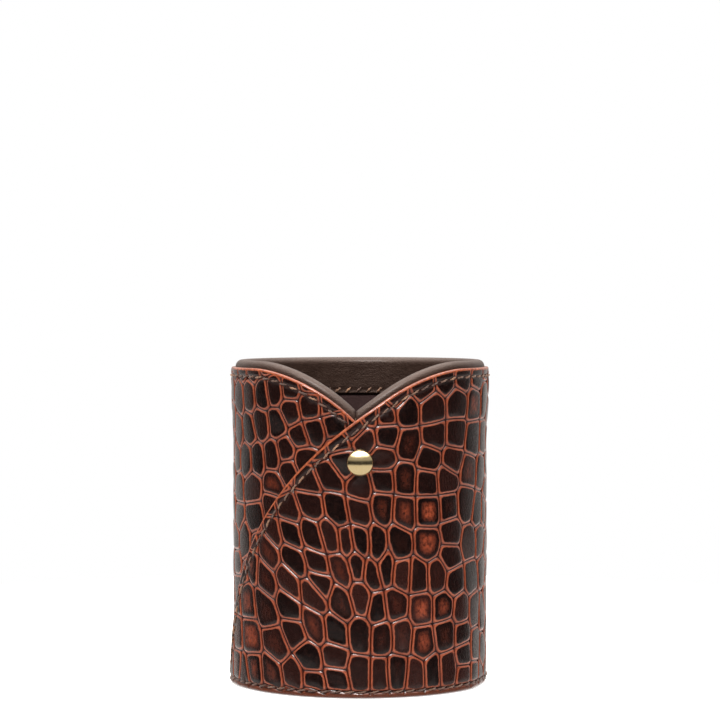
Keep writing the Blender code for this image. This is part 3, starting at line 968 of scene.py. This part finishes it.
def plain_back(places, rim_next):
    """The sheet's back: the same outline, joined across with a sparse net of points. Its faces
    count on from the front's points, and close the cut edges too."""
    painted_ridge_highlight = sorted(rim_next)
    order = {vertex: place for place, vertex in enumerate(painted_ridge_highlight)}
    net = flat_grid(*(np.arange(low, high, BACK_STEP) for low, high in zip(BACK_LOW, BACK_HIGH)))
    net = net[(sheet_inside(net[:, 0], net[:, 1]) > 2.0) & (stud_distance(net[:, 0], net[:, 1]) > 3.0)]
    flat_back = np.concatenate((places[painted_ridge_highlight], net))
    edges = [(order[here], order[ahead]) for here, ahead in rim_next.items()]
    points, _, found, _, _, _ = delaunay_2d_cdt(
        [Vector(place) for place in flat_back.tolist()], edges, [], INSIDE_OUTLINE, JOIN_WITHIN
    )
    assert len(points) == len(flat_back), "the back's outline crosses itself"
    middles = np.array([np.mean([points[v][:] for v in face], axis=0) for face in found])
    kept = stud_distance(middles[:, 0], middles[:, 1]) > ON_HOLE_EDGE * STUD_HOLE_RADIUS
    along, high = np.array([point[:] for point in points]).T
    angle = along / SHEET_RADIUS
    back = on_cup(sheet_radius(angle, high) - SHEET_THICKNESS, angle, high)
    first = len(places)
    faces = [[first + vertex for vertex in face][::-1] for face, keep in zip(found, kept) if keep]
    faces += [[ahead, here, first + order[here], first + order[ahead]] for here, ahead in rim_next.items()]
    return back, faces


def wrap_size():
    """Length, height and area of the sheet's cut, laid flat."""
    steps = np.linspace(-70, TURN + 70, 4000)
    over = OVER_EDGE.height(steps - CROSSING_ALONG)
    under = UNDER_EDGE.height(CROSSING_ALONG + TURN - steps)
    area = float(np.maximum(np.minimum(over, under) - WRAP_BOTTOM, 0.0).sum() * (steps[1] - steps[0]))
    left = CROSSING_ALONG + OVER_EDGE.along_at(WRAP_BOTTOM)
    right = CROSSING_ALONG + TURN - UNDER_EDGE.along_at(WRAP_BOTTOM)
    return right - left, WRAP_TOP - WRAP_BOTTOM, area


def make_outer_wrap(material):
    rng = np.random.default_rng(11)
    sheet, rubbed = emboss(rng)
    work = flat_mesh(sheet)
    cut_out(work)
    height = work.verts.layers.float["height"]
    crease = work.verts.layers.float["crease_distance"]
    scale_of = work.faces.layers.int["scale"]
    places = np.array([vertex.co[:2] for vertex in work.verts])
    raised = np.array([vertex[height] for vertex in work.verts])
    distance = np.array([vertex[crease] for vertex in work.verts])
    faces = [[vertex.index for vertex in face.verts] for face in work.faces]
    scales = np.array([face[scale_of] for face in work.faces])
    rim_next = rim_of(work)
    work.free()

    along, high = places.T
    top_inside = sheet_inside(along, high)
    foot_inside = high - WRAP_BOTTOM
    fade = smooth_step(0.5, 1.5, top_inside) * smooth_step(0.3, 1.2, foot_inside)
    raised = raised * fade + edge_shape(top_inside, foot_inside)
    angle = along / SHEET_RADIUS
    front = on_cup(sheet_radius(angle, high) + raised, angle, high)
    back, back_faces = plain_back(places, rim_next)

    mesh = mesh_from("outer_wrap_leather", np.concatenate((front, back)), faces + back_faces)
    outward(mesh)
    for name, values, behind in (
        ("crease_distance", distance, BACK_CREASE),
        ("edge_distance", top_inside, 0.0),
        ("foot_distance", foot_inside, BACK_FOOT),
    ):
        store(mesh, name, "POINT", np.concatenate((values, np.full(len(back), behind))))
    tones = rng.random(len(rubbed)) ** 1.6
    for name, values in (("scale_tone", tones), ("scale_rubbed", rubbed)):
        store(mesh, name, "FACE", np.concatenate((values[scales], np.zeros(len(back_faces)))))
    wrap = add_piece("embossed_wrap", mesh, material, ["outer_wrap"])
    length, tall, area = wrap_size()
    declare_sheet((length, tall), area)


# --- Facing, lining and base -------------------------------------------------------------------


def strip_angles(count, gap):
    """Angles of a rolled strip from one side of the crossing round to the other, denser at its ends."""
    share = np.linspace(0.0, 1.0, count)
    half = gap / SHEET_RADIUS / 2
    return CROSSING_ANGLE + half + share * (math.tau - 2 * half)


def facing_ring(angle):
    """Section of the facing at an angle: a hook over the tube's end, with a seam channel inside."""
    top = float(facing_top(angle))
    middle = (FACING_OUTER_RADIUS + FACING_INNER_RADIUS) / 2
    half = (FACING_OUTER_RADIUS - FACING_INNER_RADIUS) / 2
    low = top - FACING_INNER_DEPTH
    outer_low = top - FACING_RISE - FACING_OUTER_DEPTH
    turns = np.linspace(0.0, math.pi, 19)

    def bow(half_width, crown, channel):
        shoulder = crown - FACING_RISE
        heights = np.linspace(low, shoulder, 25)[:-1]
        press = channel * np.exp(-(((heights - low - FACING_STITCH_UP) / FACING_CHANNEL_HALF_WIDTH) ** 2))
        wave = FACING_WAVE * np.sin(angle * 23 + heights * 0.31) * np.sin(angle * 9.0 + 1.3)
        wave = wave * smooth_step(0.0, 4.0, shoulder - heights) * smooth_step(1.5, 4.0, heights - low)
        inner = [(middle - half_width + p - w, h) for p, w, h in zip(press, wave, heights)]
        arc = [(middle - half_width * math.cos(t), crown - FACING_RISE * (1 - math.sin(t))) for t in turns]
        outer = [(middle + half_width, h) for h in np.linspace(shoulder, outer_low, 7)[1:]]
        return inner + arc + outer

    outside = bow(half, top, FACING_CHANNEL)
    back = bow(half - FACING_THICKNESS, top - FACING_THICKNESS, FACING_BACK_CHANNEL)
    radii, heights = np.array(outside + back[::-1]).T
    return on_cup(radii, angle, heights)


def make_rim_facing(material):
    angles = strip_angles(FACING_STATIONS, SEAM_GAP)
    mesh = loft("rim_facing_leather", [facing_ring(angle) for angle in angles])
    facing = add_piece("folded_facing", mesh, material, ["rim_facing"])
    section = FACING_INNER_DEPTH + FACING_OUTER_DEPTH - FACING_RISE + math.pi * FACING_RISE
    length = float(np.mean(1 / np.cos(rim_tilt(angles[1:]))) * TURN)
    declare_sheet((length, section))


def make_wall_lining(material):
    low = BASE_BOARD_TOP + GAP
    angles = strip_angles(LINING_STATIONS, SEAM_GAP)
    tops = facing_top(angles) - LINING_BELOW_FACING
    rings = []
    for angle, high in zip(angles, tops):
        fine_from = high - LINING_FINE_FROM
        heights = np.concatenate((np.linspace(low, fine_from - 0.5, 25), np.linspace(fine_from, high, 17)))
        wave = LINING_WAVE * np.sin(7 * angle + heights * 0.13) * np.sin(heights * 0.21 + 3 * angle)
        hem = high + LINING_BELOW_FACING - FACING_INNER_DEPTH
        free = smooth_step(0.2, 1.2, hem - heights) * smooth_step(1.0, 4.0, heights - low)
        inner = LINING_INNER_RADIUS + (wave - LINING_PLUMP) * free
        radii = np.concatenate((inner, (LINING_OUTER_RADIUS, LINING_OUTER_RADIUS)))
        rings.append(on_cup(radii, angle, np.concatenate((heights, (high, low)))))
    mesh = loft("wall_lining_suede", rings, sharp=50)
    lining = add_piece("suede_wall_lining", mesh, material, ["wall_lining"])
    around = math.tau * LINING_OUTER_RADIUS
    tallest = WRAP_TOP + FACING_RISE - LINING_BELOW_FACING - low
    area = float((tops - low).mean() * around)
    declare_sheet((around, tallest), area)


def disc_mesh(name, radius, low, high, edge, wave):
    """A round piece with rounded edges, and a slightly uneven top."""
    radii = [radius * share for share in (0.04, 0.2, 0.4, 0.6, 0.78, 0.9)]
    turned = [share * math.pi / 2 for share in (0.0, 0.35, 0.7, 1.0)]
    corner = [(math.sin(angle), math.cos(angle)) for angle in turned]
    stations = [(inner, low) for inner in radii]
    stations += [(radius - edge * (1 - sine), low + edge * (1 - cosine)) for sine, cosine in corner]
    stations += [(radius - edge * (1 - cosine), high - edge * (1 - sine)) for sine, cosine in corner]
    stations += [(inner, high) for inner in reversed(radii)]
    turns = np.linspace(0.0, math.tau, DISC_SIDES, endpoint=False)
    rings = []
    for out, height in stations:
        lift = wave * np.sin(turns * 3 + out * 0.2) * math.sin(out * 0.35) if height == high else 0.0
        rings.append(on_cup(out, turns, height + lift))
    return loft(name, rings)


def make_base(leather, suede_leather):
    floor = BASE_BOARD_TOP + GAP
    floor_top = floor + FLOOR_LINING_THICKNESS
    cover = disc_mesh("base_cover_leather", BASE_COVER_RADIUS, 0.0, BASE_COVER_THICKNESS, 0.35, 0.0)
    pad = disc_mesh("floor_lining_suede", FLOOR_LINING_RADIUS, floor, floor_top, 0.25, 0.06)
    cover = add_piece("base_cover_leather", cover, leather, ["base_cover"])
    pad = add_piece("suede_floor_lining", pad, suede_leather, ["floor_lining"])
    for piece, radius, held in ((cover, BASE_COVER_RADIUS, "stretched"), (pad, FLOOR_LINING_RADIUS, "laid")):
        declare_sheet((2 * radius, 2 * radius), math.pi * radius**2)


# --- Stud --------------------------------------------------------------------------------------


def make_stud(material):
    """The domed head on its post, turned from one profile."""
    seat = float(sheet_radius(0.0, STUD_HEIGHT + STUD_HEAD_RADIUS)) + STUD_CLEARANCE
    profile = [
        (STUD_POST_END, STUD_POST_RADIUS),
        (seat - STUD_NECK, STUD_POST_RADIUS),
        (seat, STUD_POST_RADIUS + STUD_NECK),
        (seat, STUD_HEAD_RADIUS - 0.15),
        (seat + 0.08, STUD_HEAD_RADIUS - 0.03),
    ]
    for step in range(STUD_DOME_RINGS):
        turn = math.pi / 2 * step / STUD_DOME_RINGS
        depth = STUD_EDGE + (STUD_HEAD_DEPTH - STUD_EDGE) * math.sin(turn)
        profile.append((seat + depth, STUD_HEAD_RADIUS * math.cos(turn)))
    turns = np.linspace(0.0, math.tau, STUD_SIDES, endpoint=False)
    rings = []
    for forward, radius in profile:
        across, upward = radius * np.cos(turns), radius * np.sin(turns)
        rings.append(np.stack((across, np.full(STUD_SIDES, -forward), STUD_HEIGHT + upward), axis=-1))
    add_piece("brass_stud", loft("brass_stud", rings, sharp=60), material, ["stud_cap"])


# --- Stitches ----------------------------------------------------------------------------------


def spaced(path, pitch):
    """Middles of a seam's stitches along a line of (along, height) points, and their headings."""
    run = np.concatenate(([0.0], np.cumsum(np.hypot(*np.diff(path, axis=0).T))))
    count = round(run[-1] / pitch)
    places = (np.arange(count) + 0.5) * run[-1] / count

    def point_at(places):
        return np.stack([np.interp(places, run, path[:, axis]) for axis in (0, 1)], axis=1)

    heading = point_at(places + 0.2) - point_at(places - 0.2)
    return point_at(places), heading / np.hypot(*heading.T)[:, None]


def stitch_row(path, pitch, slant, radius, most_wear_and_glint, rng):
    """One piece of thread per stitch: two strands twisted together, dipping into the leather at
    both ends. The points are given as along, height and lift above the leather."""
    points, faces, wear_and_glint_shares = [], [], []
    for middle, heading in zip(*spaced(path, pitch)):
        length = pitch * rng.uniform(*STITCH_LENGTH)
        turn = math.radians(slant + rng.normal(0.0, STITCH_LEAN))
        cosine, sine = math.cos(turn), math.sin(turn)
        along, upward = heading[0], heading[1]
        forward = np.array((along * cosine - upward * sine, along * sine + upward * cosine))
        side = np.array((-forward[1], forward[0]))
        wear_and_glint = most_wear_and_glint * rng.random() ** 1.5
        phase = rng.uniform(0, math.tau)
        for strand in (0, math.pi):
            faces += tube_faces(len(points), STITCH_RINGS, STITCH_SIDES)
            for share in np.linspace(0.0, 1.0, STITCH_RINGS):
                arch = math.sin(math.pi * share)
                twist = phase + strand + share * math.tau * STITCH_TURNS
                across = STRAND_OFFSET * radius * math.cos(twist)
                lift = STITCH_ARCH * arch**0.6 - STITCH_DIP + STRAND_OFFSET * radius * math.sin(twist)
                thick = radius * (0.75 + 0.25 * arch)
                centre = middle + forward * (share - 0.5) * length
                for around in np.arange(STITCH_SIDES) * math.tau / STITCH_SIDES:
                    place = centre + side * (across + thick * math.cos(around))
                    points.append((*place, lift + thick * math.sin(around)))
                # Paler towards each stitch's arch: wear, with a painted highlight where the arch catches the
                # light.
                wear_and_glint_shares += [wear_and_glint * (0.4 + 0.6 * arch)] * STITCH_SIDES
    return np.array(points), faces, wear_and_glint_shares


def on_sheet(along, height, lift):
    angle = along / SHEET_RADIUS
    return on_cup(sheet_radius(angle, height) - CHANNEL_DEPTH + THREAD_SEAT + lift, angle, height)


def in_cup(along, height, lift):
    return on_cup(FACING_INNER_RADIUS - FACING_THREAD_SEAT - lift, along / SHEET_RADIUS, height)


def edge_seam_path():
    """The seam below the sheet's edge, from the crossing round the back to the crossing, and down
    the over-flap until it meets the seam round the foot."""
    foot = OVER_EDGE.along_at(BASE_STITCH_HEIGHT) + EDGE_STITCH_INSET + 1.0
    over = np.arange(foot, TURN / 2, PATH_STEP)
    heights = OVER_EDGE.height(over) - EDGE_STITCH_INSET / np.cos(OVER_EDGE.tilt(over))
    first = np.stack((CROSSING_ALONG + over, heights), axis=1)
    under = np.arange(TURN / 2, 2.5, -PATH_STEP)
    heights = UNDER_EDGE.height(under) - EDGE_STITCH_INSET / np.cos(UNDER_EDGE.tilt(under))
    second = np.stack((CROSSING_ALONG + TURN - under, heights), axis=1)
    return np.concatenate((first, second))


def foot_seam_path():
    start = CROSSING_ALONG + OVER_EDGE.along_at(BASE_STITCH_HEIGHT) + EDGE_STITCH_INSET
    alongs = np.arange(start, start + TURN - EDGE_STITCH_INSET, PATH_STEP)
    return np.stack((alongs, np.full(len(alongs), BASE_STITCH_HEIGHT)), axis=1)


def facing_seam_path():
    angles = strip_angles(1000, 2.0)
    heights = facing_top(angles) - FACING_INNER_DEPTH + FACING_STITCH_UP
    return np.stack((angles * SHEET_RADIUS, heights), axis=1)


def make_all_stitches(material):
    rng = np.random.default_rng(5)
    # The last number of each row is how pale its stitches may get, from wear and painted highlight.
    edge = (edge_seam_path(), EDGE_STITCH_PITCH, STITCH_SLANT, 0.19, 0.9)
    foot = (foot_seam_path(), EDGE_STITCH_PITCH, STITCH_SLANT, 0.16, 0.3)
    facing = (facing_seam_path(), FACING_STITCH_PITCH, FACING_STITCH_SLANT, 0.27, 1.0)
    for name, node, surface, row in (
        ("edge_stitches", "edge_thread", on_sheet, edge),
        ("foot_stitches", "base_thread", on_sheet, foot),
        ("facing_stitches", "facing_thread", in_cup, facing),
    ):
        points, faces, wear_and_glint_shares = stitch_row(*row, rng)
        mesh = mesh_from(name, surface(*points.T), faces)
        outward(mesh)
        store(mesh, "stitch_wear_and_glint", "POINT", wear_and_glint_shares)
        add_piece(name, mesh, material, [node])


# --- Camera and light --------------------------------------------------------------------------


def make_camera():
    data = bpy.data.cameras.new("camera")
    data.lens = CAMERA_LENS_MM
    data.sensor_width = 36.0
    data.clip_start = 0.01
    camera = bpy.data.objects.new("camera", data)
    camera.location = CAMERA_PLACE
    camera.rotation_euler = (math.radians(90 - CAMERA_DOWN), 0.0, 0.0)
    bpy.context.scene.collection.objects.link(camera)
    bpy.context.scene.camera = camera


def make_softbox():
    """The one lamp, a soft panel above and in front of the cup, a little to the left."""
    data = bpy.data.lights.new("above_front", "AREA")
    data.shape = "RECTANGLE"
    data.size, data.size_y = SOFTBOX_SIZE
    data.energy = SOFTBOX_WATTS
    light = bpy.data.objects.new("above_front", data)
    light.location = SOFTBOX_PLACE
    towards = Vector(SOFTBOX_TARGET) - Vector(SOFTBOX_PLACE)
    light.rotation_euler = towards.to_track_quat("-Z", "Y").to_euler()
    bpy.context.scene.collection.objects.link(light)


def make_world():
    """White all round to look at. As light, it glows smoothly from behind, from the sides' upper
    and lower parts and from above, and is dark in front, where the leather's gloss would show it."""
    world = bpy.data.worlds.new("studio")
    bpy.context.scene.world = world
    made = Nodes(world)
    around = made.node("ShaderNodeTexCoord").outputs["Generated"]
    direction = made.node("ShaderNodeSeparateXYZ", Vector=around)
    glows = [made.span(direction.outputs[axis], *glow) for axis, *glow in WORLD_GLOW]
    strength = glows[0]
    for glow in glows[1:]:
        strength = made.maths("ADD", strength, glow)
    looked_at = made.node("ShaderNodeLightPath").outputs["Is Camera Ray"]
    seen = made.node("ShaderNodeMix", Factor=looked_at, A=strength, B=1.0)
    background = made.nodes["Background"]
    made.feed(background.inputs["Strength"], seen.outputs["Result"])
    made.feed(background.inputs["Color"], made.mix(looked_at, LIGHT_TINT, (1.0, 1.0, 1.0)))


def make_floor():
    bpy.ops.mesh.primitive_circle_add(vertices=96, radius=FLOOR_RADIUS, fill_type="NGON")
    floor = bpy.context.object
    floor.name = "floor"
    pale = Finish("floor", Roughness=0.8, Emission_Color=(1.0, 1.0, 1.0), Emission_Strength=0.55)
    speckle = pale.noise(pale.places(), 0.02)
    pale.set(Base_Color=pale.mix(speckle, (0.84, 0.84, 0.84), (0.88, 0.88, 0.88)))
    floor.data.materials.append(pale.material)
    floor.visible_glossy = False


def main():
    bpy.context.scene.view_settings.view_transform = "Standard"
    make_camera()
    make_world()
    make_floor()
    make_softbox()
    leather = smooth_leather()
    lining = suede()
    metal = brass()
    make_outer_wrap(embossed_leather())
    make_rim_facing(leather)
    make_wall_lining(lining)
    make_base(leather, lining)
    make_stud(metal)
    make_all_stitches(thread())
    for name, finish in (("core_tube", board()), ("base_board", board()), ("stud_back", metal)):
        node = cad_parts[name]
        for slot in node.material_slots:
            slot.material = finish


main()
